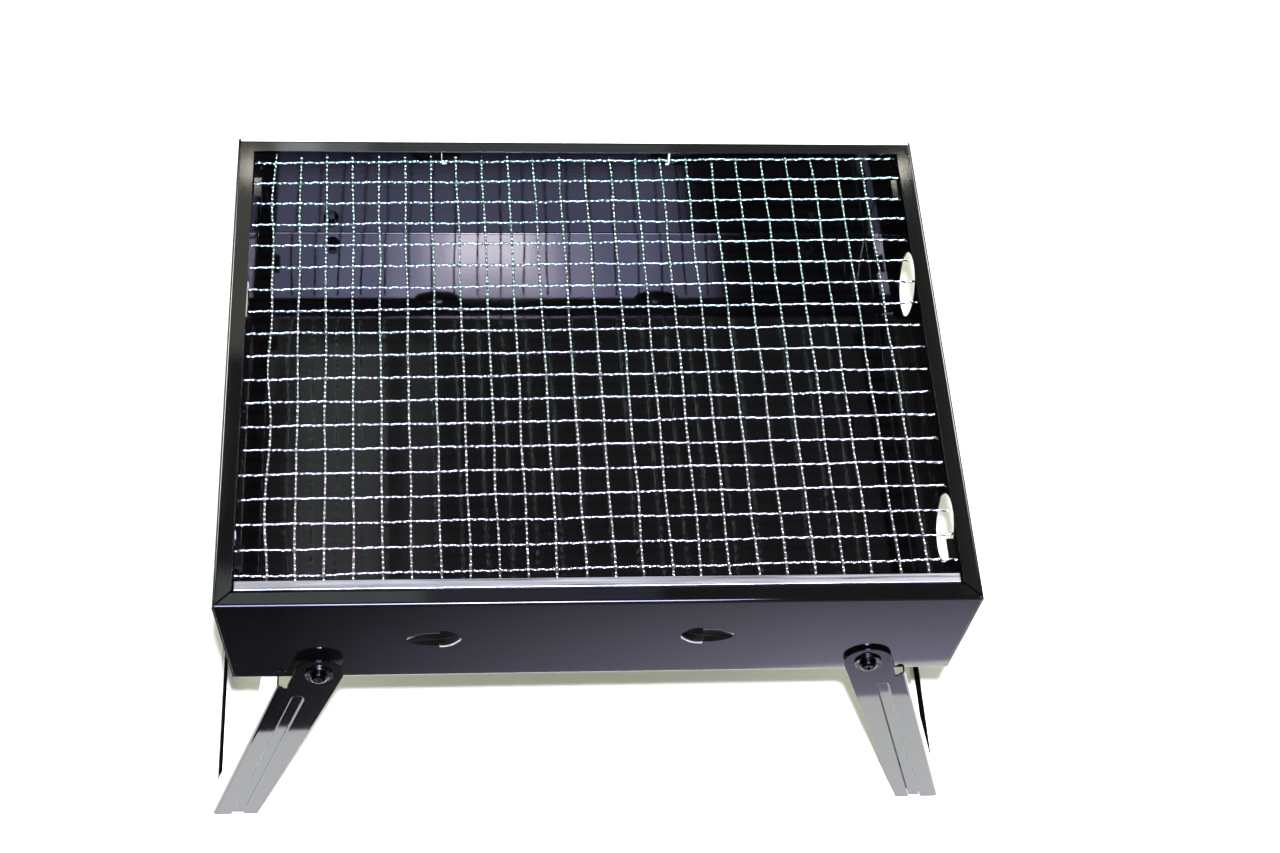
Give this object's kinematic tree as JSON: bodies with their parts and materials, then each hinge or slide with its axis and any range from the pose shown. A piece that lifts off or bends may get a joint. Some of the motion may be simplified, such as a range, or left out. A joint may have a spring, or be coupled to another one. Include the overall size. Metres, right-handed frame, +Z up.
{
  "type": "folding camp grill",
  "caption": "Tabletop charcoal grill: open pressed-sheet tray with a removable wire grid and two U-shaped leg frames that fold flat underneath.",
  "frame": {"origin": "on the floor, under the middle of the grill standing on its unfolded legs", "axes": "+X along the tray's length to the right, -Y to the front wall that the picture shows, +Z up"},
  "size_m": [0.3818, 0.288, 0.21],
  "materials": {
    "black_gloss_paint": "glossy black stove paint on sheet steel",
    "grid_wire": "bright plated crimped wire",
    "grid_binding": "bright plated folded strip",
    "screw_steel": "black zinc plated, worn bright on the rim",
    "nut_steel": "zinc plated, dull",
    "spacer_black": "black"
  },
  "bodies": {
    "firebox": {"tray_trough": "black_gloss_paint", "left_end_panel": "black_gloss_paint", "right_end_panel": "black_gloss_paint", "left_front_pivot_screw": "screw_steel", "left_front_head_washer": "screw_steel", "left_front_wall_spacer": "spacer_black", "left_front_pivot_nut": "nut_steel", "left_rear_pivot_screw": "screw_steel", "left_rear_head_washer": "screw_steel", "left_rear_wall_spacer": "spacer_black", "left_rear_pivot_nut": "nut_steel", "right_front_pivot_screw": "screw_steel", "right_front_head_washer": "screw_steel", "right_front_wall_spacer": "spacer_black", "right_front_pivot_nut": "nut_steel", "right_rear_pivot_screw": "screw_steel", "right_rear_head_washer": "screw_steel", "right_rear_wall_spacer": "spacer_black", "right_rear_pivot_nut": "nut_steel"},
    "left_leg": {"left_leg_frame": "black_gloss_paint"},
    "right_leg": {"right_leg_frame": "black_gloss_paint"},
    "cooking_grid": {"grid_cross_wires": "grid_wire", "grid_depth_wires": "grid_wire", "grid_front_binding": "grid_binding"}
  },
  "joints": [
    {"name": "left_leg_fold", "type": "hinge", "parent": "firebox", "child": "left_leg", "pos_m": [-0.13, 0, 0.15], "axis": [0, -1, 0], "range_deg": [0, 105.4]},
    {"name": "right_leg_fold", "type": "hinge", "parent": "firebox", "child": "right_leg", "pos_m": [0.13, 0, 0.15], "axis": [0, 1, 0], "range_deg": [0, 106.5]},
    {"name": "cooking_grid_lift", "type": "slide", "parent": "firebox", "child": "cooking_grid", "axis": [0, 0, 1], "range_m": [0, 0.12]}
  ]
}
